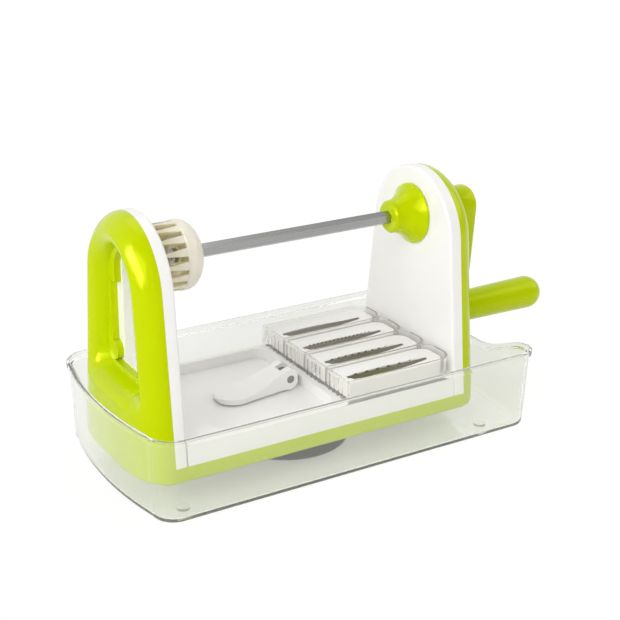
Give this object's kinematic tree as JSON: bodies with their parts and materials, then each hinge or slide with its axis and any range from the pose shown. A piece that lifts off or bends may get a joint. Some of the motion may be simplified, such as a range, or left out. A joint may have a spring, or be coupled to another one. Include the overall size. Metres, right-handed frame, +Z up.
{
  "type": "spiralizer",
  "caption": "Hand-cranked spiralizer: a toothed food holder on a cranked rod slides between two arched towers over a bed with blade inserts, standing in a clear catch tray.",
  "frame": {"origin": "on the tray's underside, midway between the towers and below the rod", "axes": "+X along the rod towards the crank, +Y to the back, +Z up"},
  "size_m": [0.3267, 0.1426, 0.1613],
  "materials": {
    "lime_plastic": "gloss lime-green moulded plastic",
    "white_plastic": "satin white moulded plastic",
    "cream_plastic": "satin ivory moulded plastic",
    "clear_plastic": "clear moulded plastic",
    "steel": "bright stainless steel",
    "grey_steel": "dull grey steel",
    "rubber": "dark grey rubber"
  },
  "bodies": {
    "tray": {"tray": "clear_plastic"},
    "machine": {"base_pan": "lime_plastic", "bed_plate": "white_plastic", "blade_tower_face": "white_plastic", "blade_tower_shell": "lime_plastic", "drive_tower_face": "white_plastic", "drive_tower_shell": "lime_plastic", "base_feet": "rubber", "base_screws": "steel", "suction_cup": "rubber"},
    "sleeve": {"drive_sleeve": "lime_plastic", "sleeve_retainer": "steel"},
    "spindle": {"rod": "steel", "food_holder": "cream_plastic", "holder_screw": "steel", "crank_arm": "lime_plastic", "crank_screw": "steel", "handle_axle": "steel"},
    "grip": {"crank_grip": "lime_plastic"},
    "stem": {"suction_stem": "grey_steel", "lever_pin": "grey_steel"},
    "lever": {"suction_lever": "white_plastic"},
    "box": {"blade_box": "clear_plastic"},
    "insert_1": {"blade_carrier_1": "white_plastic", "blade_1": "steel"},
    "insert_2": {"blade_carrier_2": "white_plastic", "blade_2": "steel", "comb_2": "steel"},
    "insert_3": {"blade_carrier_3": "white_plastic", "blade_3": "steel", "comb_3": "steel"},
    "insert_4": {"blade_carrier_4": "white_plastic", "blade_4": "steel", "comb_4": "steel"}
  },
  "joints": [
    {"name": "machine_lift", "type": "slide", "parent": "tray", "child": "machine", "axis": [0, 0, 1], "range_m": [0, 0.08]},
    {"name": "crank_spin", "type": "hinge", "parent": "machine", "child": "sleeve", "pos_m": [0.1, 0, 0.1314], "axis": [1, 0, 0], "continuous": true},
    {"name": "rod_feed", "type": "slide", "parent": "sleeve", "child": "spindle", "axis": [1, 0, 0], "range_m": [0, 0.12]},
    {"name": "grip_spin", "type": "hinge", "parent": "spindle", "child": "grip", "pos_m": [0.165, 0, 0.0598], "axis": [1, 0, 0], "continuous": true},
    {"name": "stem_pull", "type": "slide", "parent": "machine", "child": "stem", "axis": [0, 0, 1], "range_m": [-0.0022, 0], "deforming": ["suction_cup"]},
    {"name": "lever_turn", "type": "hinge", "parent": "stem", "child": "lever", "pos_m": [0, 0, 0.0405], "axis": [0, 1, 0], "range_deg": [0, 90]},
    {"name": "box_lift", "type": "slide", "parent": "machine", "child": "box", "axis": [0, 0, 1], "range_m": [0, 0.022]},
    {"name": "insert_lift_1", "type": "slide", "parent": "box", "child": "insert_1", "axis": [0, 0, 1], "range_m": [0, 0.028]},
    {"name": "insert_lift_2", "type": "slide", "parent": "box", "child": "insert_2", "axis": [0, 0, 1], "range_m": [0, 0.028]},
    {"name": "insert_lift_3", "type": "slide", "parent": "box", "child": "insert_3", "axis": [0, 0, 1], "range_m": [0, 0.028]},
    {"name": "insert_lift_4", "type": "slide", "parent": "box", "child": "insert_4", "axis": [0, 0, 1], "range_m": [0, 0.028]}
  ],
  "couplings": [
    {"joint": "stem_pull", "follows": "lever_turn", "m_per_rad": -0.0014004}
  ]
}
